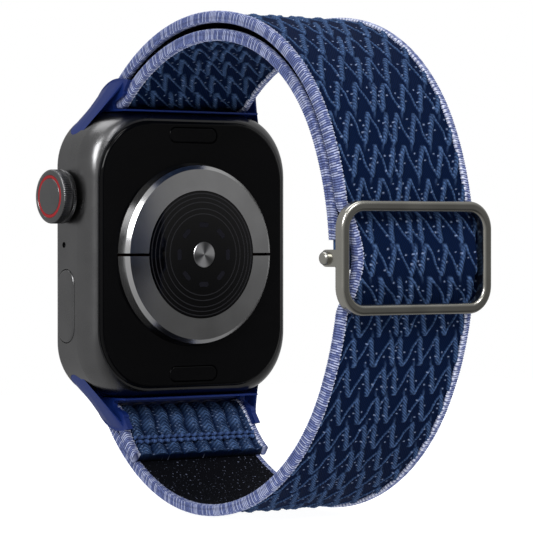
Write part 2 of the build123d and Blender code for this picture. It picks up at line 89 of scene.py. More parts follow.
class Signal:
    """One output socket, with the arithmetic that a shader needs."""

    def __init__(self, shader: "Nodes", socket: Socket) -> None:
        """Keep the shader that the socket belongs to."""
        self.shader = shader
        self.socket = socket

    def math(self, operation: str, *values: object) -> "Signal":
        """Apply one Math operation to this value and others."""
        node = self.shader.node("Math", {"operation": operation}, dict(enumerate((self, *values))))
        return Signal(self.shader, node.outputs[0])

    def __add__(self, other: object) -> "Signal":
        """Sum."""
        return self.math("ADD", other)

    def __sub__(self, other: object) -> "Signal":
        """Difference."""
        return self.math("SUBTRACT", other)

    def __mul__(self, other: object) -> "Signal":
        """Product."""
        return self.math("MULTIPLY", other)

    def __rsub__(self, other: float) -> "Signal":
        """A number less this value."""
        node = self.shader.node("Math", {"operation": "SUBTRACT"}, {0: other, 1: self})
        return Signal(self.shader, node.outputs[0])

    __radd__ = __add__
    __rmul__ = __mul__

    def step(self, low: float, high: float) -> "Signal":
        """Rise smoothly from 0 at low to 1 at high."""
        node = self.shader.node(
            "MapRange", {"interpolation_type": "SMOOTHSTEP"}, {0: self, 1: low, 2: high, 3: 0.0, 4: 1.0}
        )
        return Signal(self.shader, node.outputs[0])


class Nodes:
    """A node tree under construction."""

    def __init__(self, owner: Material | bpy.types.World) -> None:
        """Empty the tree of a material or world."""
        owner.use_nodes = True
        self.tree = owner.node_tree
        self.tree.nodes.clear()

    def node(self, kind: str, settings: dict | None = None, inputs: dict | None = None) -> bpy.types.Node:
        """Add a node, choose its settings and then fill its sockets.

        Args:
            kind: Node type without its ShaderNode prefix.
            settings: Properties that are set first.
            inputs: Values, sockets or signals by socket name or number.

        Returns:
            The new node.
        """
        node = self.tree.nodes.new("ShaderNode" + kind)
        for key, value in (settings or {}).items():
            setattr(node, key, value)
        for key, value in (inputs or {}).items():
            self.feed(node.inputs[key], value)
        return node

    def feed(self, socket: Socket, value: object) -> None:
        """Link a signal or socket, or set a plain value."""
        if isinstance(value, Signal):
            self.tree.links.new(value.socket, socket)
        elif isinstance(value, Socket):
            self.tree.links.new(value, socket)
        else:
            socket.default_value = value


class Shader(Nodes):
    """A material under construction around one Principled surface."""

    def __init__(self, name: str) -> None:
        """Start a material of this name."""
        self.material = bpy.data.materials.new(name)
        super().__init__(self.material)
        self.surface = self.node("BsdfPrincipled")
        self.node("OutputMaterial", {}, {0: self.surface.outputs[0]})

    def constants(self, **values: object) -> None:
        """Set the surface's own sockets; an underscore in a name stands for a space."""
        for key, value in values.items():
            self.surface.inputs[key.replace("_", " ")].default_value = value

    def attribute(self, name: str) -> Signal:
        """A number stored on the mesh."""
        return Signal(self, self.node("Attribute", {"attribute_name": name}).outputs["Fac"])

    def place(self, scale: Triple = (1.0, 1.0, 1.0)) -> Socket:
        """Object coordinates, stretched along each axis."""
        here = self.node("TexCoord").outputs["Object"]
        return self.node("Mapping", {}, {"Vector": here, "Scale": scale}).outputs[0]

    def noise(self, where: Socket, scale: float, detail: float = 2.0) -> Signal:
        """Soft noise around one half."""
        node = self.node("TexNoise", {}, {"Vector": where, "Scale": scale, "Detail": detail})
        return Signal(self, node.outputs[0])

    def mix(self, factor: object, low: object, high: object) -> Socket:
        """A colour between two others."""
        node = self.node("Mix", {"data_type": "RGBA"}, {0: factor, 6: low, 7: high})
        return node.outputs[2]

    def colour(self, value: object) -> None:
        """Feed the surface's base colour."""
        self.feed(self.surface.inputs["Base Color"], value)

    def roughness(self, value: object) -> None:
        """Feed the surface's roughness."""
        self.feed(self.surface.inputs["Roughness"], value)

    def bump(self, height: Signal, distance: float, strength: float = 1.0) -> None:
        """Raise the surface by a height field.

        Args:
            height: Height from 0 to 1.
            distance: Height of 1, in metres.
            strength: Share of the effect that is used.
        """
        node = self.node("Bump", {}, {"Height": height, "Distance": distance, "Strength": strength})
        self.feed(self.surface.inputs["Normal"], node.outputs[0])


@dataclass(frozen=True)
class Metal:
    """Blasted, anodised or polished metal with a fine grain."""

    name: str
    base: Levels
    rough: float
    grain: float = 9000.0
    depth: float = 4e-6

    def make(self) -> Material:
        """Base colour and roughness vary a little with a broad noise, and a fine noise is the grain."""
        shader = Shader(self.name)
        where = shader.place()
        broad = shader.noise(where, 220.0)
        darker = tuple(int(level * 0.88) for level in self.base)
        shader.colour(shader.mix(broad, tint(*darker), tint(*self.base)))
        shader.roughness(self.rough + (broad - 0.5) * 0.1)
        shader.bump(shader.noise(where, self.grain), self.depth)
        shader.constants(Metallic=1.0)
        return shader.material


@dataclass(frozen=True)
class Gloss:
    """Polished glass or ceramic over black print, with faint wipe marks."""

    name: str
    base: Levels
    rough: float = 0.06
    specular: float = 0.16

    def make(self) -> Material:
        """Roughness rises in stretched noise where a cloth has wiped."""
        shader = Shader(self.name)
        wiped = shader.noise(shader.place((1.0, 1.0, 4.0)), 60.0, 4.0)
        shader.colour(shader.mix(wiped, tint(*self.base), tint(*(level + 3 for level in self.base))))
        shader.roughness(self.rough + wiped.step(0.45, 0.8) * 0.05)
        shader.constants(Specular_IOR_Level=self.specular)
        return shader.material


@dataclass(frozen=True)
class Moulded:
    """Moulded plastic with a fine spark texture."""

    name: str
    base: Levels
    rough: float = 0.45

    def make(self) -> Material:
        """A fine noise is the spark texture and a broad one shifts the colour."""
        shader = Shader(self.name)
        where = shader.place()
        broad = shader.noise(where, 150.0)
        lighter = tuple(min(255, int(level * 1.12) + 2) for level in self.base)
        shader.colour(shader.mix(broad, tint(*self.base), tint(*lighter)))
        shader.roughness(self.rough + (broad - 0.5) * 0.15)
        shader.bump(shader.noise(where, 5200.0), 1.2e-5)
        shader.constants(Specular_IOR_Level=0.25)
        return shader.material


@dataclass(frozen=True)
class SensorGlass:
    """Black crystal with fine printed rings about the axis through the sensor."""

    name: str
    ring_radii: tuple[float, ...] = (6.3, 7.1, 8.1, 8.8, 9.45)

    def make(self) -> Material:
        """Each ring is a narrow band of distance from the axis, in a dark grey."""
        shader = Shader(self.name)
        here = shader.node("TexCoord").outputs["Object"]
        flat = shader.node("VectorMath", {"operation": "MULTIPLY"}, {0: here, 1: (1.0, 0.0, 1.0)})
        length = shader.node("VectorMath", {"operation": "LENGTH"}, {0: flat.outputs[0]})
        radius = Signal(shader, length.outputs["Value"])
        rings = None
        for ring in self.ring_radii:
            away = (radius - ring * MM).math("ABSOLUTE")
            line = 1 - away.step(4e-5, 1.1e-4)
            rings = line if rings is None else rings + line
        shader.colour(shader.mix(rings, tint(3, 3, 4), tint(30, 30, 33)))
        shader.roughness(0.05 + rings * 0.2)
        shader.constants(Specular_IOR_Level=0.4)
        return shader.material


@dataclass(frozen=True)
class SpunMetal:
    """Bright disc finished with strokes that run out from its centre."""

    name: str

    def make(self) -> Material:
        """The angle about the axis drives broad light and dark sectors, a painted reflection of the spun
        finish, and fine strokes.
        """
        shader = Shader(self.name)
        here = shader.node("TexCoord").outputs["Object"]
        split = shader.node("SeparateXYZ", {}, {0: here})
        angle = Signal(shader, split.outputs[2]).math("ARCTAN2", Signal(shader, split.outputs[0]))
        # Painted reflection: light and dark sectors about the centre, as the spun finish would mirror its
        # surroundings.
        reflection_sectors = ((angle * 3.0) + 0.6).math("SINE") * 0.5 + 0.5
        turned = shader.node("CombineXYZ", {}, {0: angle, 1: 0.0, 2: 0.0}).outputs[0]
        strokes = shader.noise(turned, 26.0, 3.0)
        # Colour mixes the painted reflection sectors with the real strokes.
        light = (reflection_sectors * 0.75) + (strokes * 0.5)
        shader.colour(shader.mix(light.step(0.15, 1.0), tint(98, 98, 100), tint(238, 238, 240)))
        shader.roughness(0.25 + strokes * 0.2)
        shader.constants(Metallic=1.0)
        return shader.material


@dataclass(frozen=True)
class Woven:
    """Elastic webbing, its light woven edge, or sewing thread."""

    name: str
    ground: Levels
    yarn: Levels
    pale: Levels
    lined: bool = False

    def make(self) -> Material:
        """Colour follows the mesh's yarn, fleck and face numbers, with knit and fibre over them.

        A lined cloth has a black back with pale specks where its face number is 0.
        """
        shader = Shader(self.name)
        cloth = shader.node("UVMap", {"uv_map": "cloth"}).outputs[0]
        split = shader.node("SeparateXYZ", {}, {0: cloth})
        across = Signal(shader, split.outputs[0])
        along = Signal(shader, split.outputs[1])
        knit = (across * (TAU / KNIT_ACROSS)).math("SINE") * (along * (TAU / KNIT_ALONG)).math("SINE")
        fibre = shader.noise(cloth, 7.0, 3.0)
        tone = shader.noise(cloth, 0.9, 2.0)
        dim = tuple(int(level * 0.55) for level in self.ground)
        ground = shader.mix((knit * 0.3 + fibre).step(0.2, 0.95), tint(*dim), tint(*self.ground))
        soft = tuple(int(level * 0.62) for level in self.yarn)
        yarn = shader.mix((fibre * 0.7 + tone * 0.45).step(0.3, 0.8), tint(*soft), tint(*self.yarn))
        # The mesh's yarn number also holds the cords' painted highlight and painted shade.
        body = shader.mix(shader.attribute("yarn"), ground, yarn)
        woven = shader.mix(shader.attribute("fleck"), body, tint(*self.pale))
        if self.lined:
            speck = shader.noise(cloth, 2.6, 0.0).step(0.72, 0.8)
            lining = shader.mix(speck, tint(7, 8, 13), tint(92, 98, 118))
            woven = shader.mix(shader.attribute("face"), lining, woven)
        shader.colour(woven)
        shader.roughness(0.62 + fibre * 0.25)
        shader.bump(fibre + knit * 0.35, 6e-5, 0.8)
        shader.constants(Specular_IOR_Level=0.04)
        return shader.material


# ---------------------------------------------------------------- meshes
def grid_faces(rows: int, columns: int) -> Array:
    """Four-sided faces between the points of a grid that is stored row by row and goes round.

    Args:
        rows: Number of rows.
        columns: Number of columns; the last one joins the first.

    Returns:
        Four point numbers for each face.
    """
    a, b = np.meshgrid(np.arange(rows - 1), np.arange(columns), indexing="ij")
    c, d = a + 1, (b + 1) % columns
    corners = [a * columns + b, a * columns + d, c * columns + d, c * columns + b]
    return np.stack(corners, -1).reshape(-1, 4)


def solid(
    name: str,
    tubes: list[Array],
    numbers: dict[str, list[Array]] | None = None,
    cloth: list[Array] | None = None,
    crease: float = 60.0,
) -> Piece:
    """Make one object from tubes with flat ends, each a grid of points with its columns going round.

    Args:
        name: Name of the object.
        tubes: Grids of points in millimetres, rows by columns by 3.
        numbers: A value for each point by name, as one grid for each tube.
        cloth: Place on the cloth in millimetres for each point, rows by columns by 2.
        crease: Angle in degrees over which an edge is sharp.

    Returns:
        The object, with its faces outwards.
    """
    points, faces, start = [], [], 0
    for tube in tubes:
        rows, columns = tube.shape[:2]
        around = np.arange(columns) + start
        faces += (grid_faces(rows, columns) + start).tolist()
        faces.append(around[::-1].tolist())
        faces.append((around + (rows - 1) * columns).tolist())
        points.append(tube.reshape(-1, 3) * MM)
        start += rows * columns
    mesh = bpy.data.meshes.new(name)
    mesh.from_pydata(np.concatenate(points).tolist(), [], faces)
    work = bmesh.new()
    work.from_mesh(mesh)
    bmesh.ops.recalc_face_normals(work, faces=work.faces)
    work.to_mesh(mesh)
    work.free()
    mesh.polygons.foreach_set("use_smooth", np.ones(len(mesh.polygons), bool))
    mesh.set_sharp_from_angle(angle=np.radians(crease))
    for key, grids in (numbers or {}).items():
        values = np.concatenate([grid.ravel() for grid in grids]).astype(np.float32)
        mesh.attributes.new(key, "FLOAT", "POINT").data.foreach_set("value", values)
    if cloth is not None:
        corner = np.empty(len(mesh.loops), np.int32)
        mesh.loops.foreach_get("vertex_index", corner)
        flat = np.concatenate([grid.reshape(-1, 2) for grid in cloth])[corner]
        mesh.uv_layers.new(name="cloth").data.foreach_set("uv", flat.ravel().astype(np.float32))
    return put(name, mesh)


def put(name: str, data: bpy.types.ID) -> Piece:
    """Place a new object with this data in the scene."""
    made = bpy.data.objects.new(name, data)
    bpy.context.scene.collection.objects.link(made)
    return made


def raised(across: Array, place: Array, outward: Array, depth: Array) -> Array:
    """Points across the band, each lifted outward by a depth from its place on the middle line."""
    y, z = (place[:, None, i] + outward[:, None, i] * depth for i in (0, 1))
    return np.stack([across, y, z], -1)


def finish_piece(
    piece: Piece, material: Material, nodes: tuple[str, ...]
) -> None:
    """Give a new piece its material and hide the CAD nodes that it stands for."""
    piece.data.materials.append(material)
    if nodes:
        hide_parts(*nodes)
    LOG.info("%s: %d faces", piece.name, len(piece.data.polygons))


class Path:
    """A route in the side plane, kept as closely spaced points with headings."""

    def __init__(self, start: Pair, degrees: float, woven: int) -> None:
        """Start a route.

        Args:
            start: First point, as Y and Z.
            degrees: First heading, anticlockwise from Y.
            woven: 1 when the woven face is left of the heading and -1 when it is right.
        """
        self.points = np.array([start], float)
        self.angles = np.array([np.radians(degrees)])
        self.woven = woven

    @property
    def travelled(self) -> Array:
        """Distance from the start to each point."""
        steps = np.hypot(*np.diff(self.points, axis=0).T)
        return np.concatenate([[0.0], np.cumsum(steps)])

    @property
    def length(self) -> float:
        """Whole distance."""
        return float(self.travelled[-1])

    def arc(self, radius: float, sweep: float) -> "Path":
        """Turn along an arc; a negative sweep turns right.

        The centre is one radius to the side, and each point is the centre plus the radius at its angle.
        """
        side = np.sign(sweep)
        first = self.angles[-1]
        angles = first + np.radians(np.linspace(0, sweep, 400)[1:])
        offset = np.stack([np.sin(angles), -np.cos(angles)], -1) - [np.sin(first), -np.cos(first)]
        self.points = np.vstack([self.points, self.points[-1] + side * radius * offset])
        self.angles = np.append(self.angles, angles)
        return self

    def reach(self, target: Array, degrees: float, pull: float) -> "Path":
        """Bend to a point and heading along a cubic whose handles are pull long."""
        t = np.linspace(0, 1, 200)[1:, None]
        first, angle, last = self.points[-1], self.angles[-1], np.radians(degrees)
        a = first + pull * np.array([np.cos(angle), np.sin(angle)])
        b = target - pull * np.array([np.cos(last), np.sin(last)])
        curve = first * (1 - t) ** 3 + 3 * a * t * (1 - t) ** 2 + 3 * b * t**2 * (1 - t) + target * t**3
        slope = 3 * (a - first) * (1 - t) ** 2 + 6 * (b - a) * t * (1 - t) + 3 * (target - b) * t**2
        turned = np.unwrap(np.append(angle, np.arctan2(slope[:, 1], slope[:, 0])))[1:]
        self.points = np.vstack([self.points, curve])
        self.angles = np.append(self.angles, turned)
        return self

    def at(self, distance: Array) -> tuple[Array, Array]:
        """Points and the woven face's outward directions at distances from the start."""
        travelled = self.travelled
        place = np.stack([np.interp(distance, travelled, self.points[:, i]) for i in (0, 1)], -1)
        angle = np.interp(distance, travelled, self.angles)
        return place, self.woven * np.stack([-np.sin(angle), np.cos(angle)], -1)

    def spot(self, distance: float) -> Triple:
        """One point on the middle of the band, in metres."""
        place, _ = self.at(np.array([distance]))
        return (0.0, place[0, 0] * MM, place[0, 1] * MM)


# ---------------------------------------------------------------- the weave
def rise_and_fall(value: Array, low: float, high: float) -> Array:
    """Smooth step from 0 at low to 1 at high."""
    t = np.clip((value - low) / (high - low), 0, 1)
    return t * t * (3 - 2 * t)


@dataclass(frozen=True)
class Spot:
    """Where points lie in the zigzag: row number, share of the row climbed, lean and its cosine."""

    across: Array
    along: Array
    count: Array
    part: Array
    lean: Array
    slope: Array


@dataclass(frozen=True)
class Weave:
    """Zigzag of twisted cords on a navy ground.

    Each column repeats a V: a thick cord climbs from the foot, and a thin leg climbs on its left to the top
    of the next cord.  The right half of the band is shifted by half a column, and from the buckle's lower
    bar down the zigzag is turned upside down.
    """

    pitch: float = 3.42
    row: float = 4.8
    left: tuple[float, ...] = (-12.42, -9.0, -5.58, -2.16)
    right: tuple[float, ...] = (-0.45, 2.97, 6.39, 9.81, 13.23)
    turn_over: float = -7.0
    upper_rate: Pair = (0.2294, 0.0007)
    lower_rate: Pair = (0.2326, 0.0008)
    rate_ends: Pair = (60, 55)
    lean_stops: tuple[Pair, ...] = (
        (-80, 0.9), (-55, 0.8), (-30, 0.6), (-14, 0.32), (-8, 0.3), (-7, -0.6), (-2.6, -0.57), (-1.6, -0.1),
        (2.1, 0.17), (8, 0.42), (20, 0.6), (45, 0.85), (80, 0.9), (85, -0.75), (100, -0.7), (120, -0.5),
        (150, -0.2),
    )
    cord: float = 0.42
    leg: float = 0.15
    tail: float = 0.2
    relief: float = 0.4
    twist: float = 0.5
    flecks: tuple[Pair, ...] = ((-0.72, 0.3), (-0.6, 0.62), (0.75, 0.5), (-1.3, 0.75))
    fleck_size: Pair = (0.17, 0.12)

    def rows(self, along: Array) -> Array:
        """Rows counted from where the zigzag turns over; a row is longer where the band is stretched."""
        above = np.clip(along - self.turn_over, 0, None)
        below = np.clip(self.turn_over - along, 0, None)
        up = self.upper_rate[0] * above - self.upper_rate[1] * np.minimum(above, self.rate_ends[0]) ** 2
        down = self.lower_rate[0] * below - self.lower_rate[1] * np.minimum(below, self.rate_ends[1]) ** 2
        return up + down

    def lean(self, along: Array) -> Array:
        """How far a cord moves across in one row.

        It changes side in the buckle's lowest row and where the band turns round a lug bar.
        """
        return self.pitch * np.interp(along, *zip(*self.lean_stops))

    def strand(self, gap: Array, half: Array | float) -> Array:
        """Rounded section of a strand: the height of a half ellipse over the gap from its middle."""
        return np.sqrt(np.clip(1 - (gap / np.maximum(half, 1e-6)) ** 2, 0, 1))

    def cord_at(self, spot: Spot, foot: Array) -> tuple[Array, Array]:
        """Height and yarn share of the thick cord that climbs from a foot; its plies are ripples. The yarn
        share carries painted light: painted shade in the grooves between the plies and a painted highlight
        on the cord's left side.
        """
        body = rise_and_fall(spot.part, -0.03, 0.14) * (1 - rise_and_fall(spot.part, 0.84, 1.02))
        gap = (spot.across - foot - spot.lean * spot.part) * spot.slope
        ply = spot.along * spot.slope + gap * 1.1 + 0.1 * np.sin(spot.count * 5)
        ripple = 0.5 + 0.5 * np.sin(TAU * ply / self.twist)
        swell = self.cord * (0.6 + 0.4 * body) * (0.86 + 0.14 * ripple)
        cord = self.strand(gap, swell) * (body > 0.02)
        # Painted shade: the yarn share drops towards the ground colour in the grooves between the plies.
        yarn_with_painted_light = cord**0.8 * (0.1 + 0.9 * ripple**1.5) * (0.3 + 0.7 * body)
        # Painted highlight: the left side of each cord is lighter.
        side_light = rise_and_fall(-gap, -self.cord, self.cord * 0.8)
        return cord * (0.72 + 0.28 * ripple) * (0.4 + 0.6 * body), yarn_with_painted_light * (0.5 + 0.5 * side_light)

    def tail_at(self, spot: Spot, foot: Array) -> Array:
        """Where a cord's thin root lies in the top of the row before its foot."""
        gap = (spot.across - foot - spot.lean * (spot.part - 1)) * spot.slope
        return self.strand(gap, self.tail) * rise_and_fall(spot.part, 0.74, 1.0)

    def leg_at(self, spot: Spot, foot: Array, number: int, reach: float) -> Array:
        """Where a thin leg lies; it climbs over the given share of the row and thickens at its end."""
        shown = 1 - rise_and_fall(spot.part, reach - 0.04, reach + 0.02)
        shown = shown * rise_and_fall(spot.part, -0.02, 0.04)
        kink = 0.12 * np.sin(spot.part * 7.0 + number * 2.0 + spot.count)
        run = self.pitch - spot.lean
        gap = (spot.across - foot - kink + run * spot.part) * np.cos(np.arctan2(run, self.row))
        wide = self.leg * (0.8 + 1.1 * rise_and_fall(spot.part, 0.66, 1.0))
        return self.strand(gap, wide) * shown

    def flecks_at(self, spot: Spot, foot: Array, number: int, half: int) -> Array:
        """Small pale dots between the cords, each set off from the foot across and up the row."""
        found = np.zeros_like(spot.across)
        for mark, (over, up) in enumerate(self.flecks):
            wander = 0.3 * np.sin(spot.count * (5.3 + mark) + number * 2.9 + half * 1.7)
            over_gap = (spot.across - foot - spot.lean * up - over - wander) / self.fleck_size[0]
            up_gap = (spot.part - up - wander * 0.3) * self.row / self.fleck_size[1]
            found = np.maximum(found, 0.6 * (1 - rise_and_fall(np.hypot(over_gap, up_gap), 0.5, 1.1)))
        return found

    def relief_at(self, across: Array, along: Array) -> tuple[Array, Array, Array]:
        """Height, yarn share and fleck share over the cloth; on the cords the yarn share holds painted
        highlight and painted shade.

        Args:
            across: Place across the band for each point.
            along: Distance from the buckle for each point, negative below it.

        Returns:
            Height in millimetres below the face (0 at the top of a cord), yarn share with the cords' painted
            highlight and shade, and fleck share.
        """
        climb, lean = self.rows(along), self.lean(along)
        count = np.floor(climb)
        spot = Spot(across, along, count, climb - count, lean, np.cos(np.arctan2(lean, self.row)))
        height, yarn, fleck = (np.zeros_like(across) for _ in range(3))
        for half, columns in enumerate((self.left, self.right)):
            for number, column in enumerate(columns):
                row_sway = 0.16 * np.sin(count * 2.7 + number * 4.1 + half)
                foot = column + row_sway + 0.06 * np.sin(spot.part * 9 + number)
                tall, yarn_with_painted_light = self.cord_at(spot, foot)
                tail = self.tail_at(spot, foot)
                leg = self.leg_at(spot, foot, number, 0.45 if (half, number) == (1, 0) else 1.0)
                leg_yarn = leg * (0.62 + 0.25 * np.sin(TAU * along / self.twist))
                height = np.maximum.reduce([height, tall, 0.4 * tail, 0.62 * leg])
                # The cords' yarn share holds their painted highlight and painted shade.
                yarn = np.maximum.reduce([yarn, yarn_with_painted_light, 0.28 * tail, leg_yarn])
                fleck = np.maximum(fleck, self.flecks_at(spot, foot, number, half))
        ground = 0.12 * np.sin(TAU * across / KNIT_ACROSS) * np.sin(TAU * along / KNIT_ALONG)
        return self.relief * (height - 1) + 0.05 * ground * (1 - height), np.clip(yarn, 0, 1), fleck


@dataclass(frozen=True)
class Gathers(Weave):
    """Sewn end of the band: plump ribs that run along it, closed by a row of thread."""

    rib: float = 2.62
    braid: float = 0.62
    rib_depth: float = 0.6

    def relief_at(self, across: Array, along: Array) -> tuple[Array, Array, Array]:
        """Each rib is a rounded ridge, braided by strokes that lean both ways; see Weave for the rest."""
        place = across + 0.18 * np.sin(along * 1.1) + 0.4
        share = place / self.rib - np.floor(place / self.rib) - 0.5
        ridge = np.clip(np.cos(np.pi * share), 0, 1) ** 0.7
        stroke = 0.5 + 0.5 * np.sin(TAU * (along + 2.2 * np.abs(share)) / self.braid)
        count = np.floor(place / self.rib)
        patch = 0.5 + 0.5 * np.sin(along * 2.3 + count * 2.1)
        yarn = ridge**1.5 * (0.12 + 0.88 * stroke**1.3) * (0.45 + 0.55 * patch)
        spot = np.sin(along * 9.1 + count * 3.3) * np.sin(across * 8.7 + count)
        fleck = 0.5 * rise_and_fall(spot, 0.86, 0.97)
        return self.rib_depth * (ridge * (0.75 + 0.25 * stroke) - 1), yarn, fleck


@dataclass(frozen=True)
class Edge:
    """Light woven edge: a plump strip with a rib for each weft turn."""

    width: float = 1.2
    middle: float = 11.42
    rib: float = 0.36
    depth: float = 0.085
    half_thick: float = 0.8
    sides: int = 26
    square: float = 0.6
    lip: float = 0.13
    wrap: float = 5.5

    def scatter(self, value: Array) -> Array:
        """A number from 0 to 1 for each value that looks random and is always the same."""
        cell = np.sin(value) * 43758.5453
        return cell - np.floor(cell)

    def tube(
        self, end: int, place: Array, outward: Array, along: Array
    ) -> tuple[Array, Array, Array, Array]:
        """Points, yarn share, fleck share and cloth place of one edge.

        The section is a rounded box: each half size times the cosine or sine to a power.  Slanted ribs raise
        it, and a lip swells beside the webbing.

        Args:
            end: -1 for the left edge and 1 for the right one.
            place: Points on the middle line of the woven face.
            outward: Outward direction at each of them.
            along: Distance along the band to each of them.
        """
        turn = np.linspace(0, TAU, self.sides, endpoint=False)[None, :]
        run = along[:, None]
        box_x = np.sign(np.cos(turn)) * np.abs(np.cos(turn)) ** self.square
        box_n = np.sign(np.sin(turn)) * np.abs(np.sin(turn)) ** self.square
        inner = rise_and_fall(-box_x, 0.35, 1.0) * rise_and_fall(box_n, 0.2, 0.9)
        slanted = run + 0.12 * box_n + 0.14 * box_x
        wave = 0.5 + 0.5 * np.cos(TAU * slanted / self.rib + 0.5 * np.sin(run * 3.1))
        bulge = 0.5 + 0.5 * np.cos(TAU * run / (2 * self.rib) + 1.3 * np.sin(run * 0.9))
        swell = self.depth * wave + self.lip * inner * bulge
        depth = -self.half_thick + box_n * (self.half_thick + swell)
        x = end * (self.middle + box_x * (self.width / 2 - self.depth + swell))
        random = self.scatter(np.floor(run / self.rib) * 12.9898 + end * 4.0 + np.round(box_x * 2) * 7.7)
        yarn = np.clip(wave**1.3 * (0.6 + 0.4 * random), 0, 1)
        fleck = np.clip(inner * bulge * 0.9 + 0.4 * wave**2 * (random > 0.5), 0, 1)
        cloth = np.stack(np.broadcast_arrays(turn / TAU * self.wrap, run), -1)
        return raised(x, place, outward, depth), yarn, fleck, cloth


@dataclass
class Stretch:
    """One length of the band between two distances on a route."""

    name: str
    path: Path
    begin: float
    end: float
    webbing_nodes: tuple[str, ...]
    binding_nodes: tuple[str, ...] = ()
    sign: int = 1
    bends: bool = False
    weave: Weave = field(default_factory=Weave)
    edge: Edge = field(default_factory=Edge)
    half: float = 11.0
    thick: float = 1.6
    bulge: float = 1.9
    bulge_reach: float = 7.37
    across_step: float = 0.165
    along_step: float = 0.13
    edge_step: float = 0.09
    back_columns: int = 34
    inset: float = 0.03
    shift: float = 1.5
    spread: float = 0.06
    under_bars: Pair = (5.0, 8.2)
    tuck_zone: Pair = (10.9, 12.35)
    tuck_depth: float = 0.22
    widen: float = 0.0

    def rise(self, along: Array) -> Array:
        """Extra height where the band passes over the centre bar: half a cosine wave."""
        near = np.clip(np.abs(along) / self.bulge_reach, 0, 1)
        return self.bulge * 0.5 * (1 + np.cos(np.pi * near))

    def lay(self, step: float) -> tuple[Array, Array, Array]:
        """Distances, points on the woven face and outward directions along the stretch."""
        count = max(8, int(round((self.end - self.begin) / step)) + 1)
        along = np.linspace(self.begin, self.end, count)
        place, outward = self.path.at(along)
        return along, place, outward

    def settle(self, points: Array, along: Array, outward: Array) -> Array:
        """Fit the band to the buckle.

        Inside the frame it lies over the centre bar, spreads, sits to one side and tucks under one end, all
        of which fades out under the upper and lower bars.  A stretch may also widen towards its end.
        """
        lift = self.rise(along)[:, None]
        share = (along - self.begin)[:, None] / (self.end - self.begin)
        inside = 1 - rise_and_fall(np.abs(along)[:, None], *self.under_bars)
        points[..., 0] *= 1 + self.widen * share + self.spread * inside
        points[..., 0] += self.shift * inside
        tuck = rise_and_fall(points[..., 0], *self.tuck_zone)
        drop = lift * (1 - tuck) - self.tuck_depth * tuck * lift / self.bulge
        points[..., 1:] += outward[:, None, :] * drop[..., None]
        return points

    def webbing(self) -> Piece:
        """The woven middle: a relief on the face, a plain knit back and rounded sides."""
        along, place, outward = self.lay(self.along_step)
        front = np.linspace(-self.half, self.half, int(2 * self.half / self.across_step) + 1)
        back = np.linspace(self.half, -self.half, self.back_columns)
        front_x, front_run = np.meshgrid(front, along)
        back_x, back_run = np.meshgrid(back, along)
        height, yarn, fleck = self.weave.relief_at(front_x, self.sign * front_run)
        knit = np.sin(TAU * back_x / 1.2) * np.sin(TAU * back_run / 0.9)
        across = np.concatenate([front_x, back_x], 1)
        depth = np.concatenate([height - self.inset, -self.thick + 0.06 + 0.03 * knit], 1)
        points = raised(across, place, outward, depth)
        blank = np.zeros_like(back_x)
        numbers = {
            "yarn": [np.concatenate([yarn, blank], 1)],
            "fleck": [np.concatenate([fleck, blank], 1)],
            "face": [np.concatenate([np.ones_like(front_x), blank], 1)],
        }
        cloth = np.stack([across, np.concatenate([front_run, back_run], 1)], -1)
        return solid(self.name + "_webbing_cloth", [self.settle(points, along, outward)], numbers, [cloth])

    def binding(self) -> Piece:
        """Both woven edges as one piece."""
        along, place, outward = self.lay(self.edge_step)
        made = [self.edge.tube(end, place, outward, along) for end in (-1, 1)]
        points, yarn, fleck, cloth = (list(part) for part in zip(*made))
        points = [self.settle(grid, along, outward) for grid in points]
        return solid(self.name + "_binding_cloth", points, {"yarn": yarn, "fleck": fleck}, cloth)

    def build(self, cloth: Material, edging: Material) -> None:
        """Make both pieces and dress them; a stretch with bends set has its transform baked where it lies,
        and any other follows the band's body.
        """
        middle, edges = self.webbing(), self.binding()
        finish_piece(middle, cloth, self.webbing_nodes)
        finish_piece(edges, edging, self.binding_nodes)
        for piece in (middle, edges):
            if self.bends:
                fixed, sliding = (self.end, self.begin) if self.begin == 0 else (self.begin, self.end)
                self.path.spot(fixed)
                self.path.spot(sliding)
                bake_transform(piece)
            else:
                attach(piece, "band")


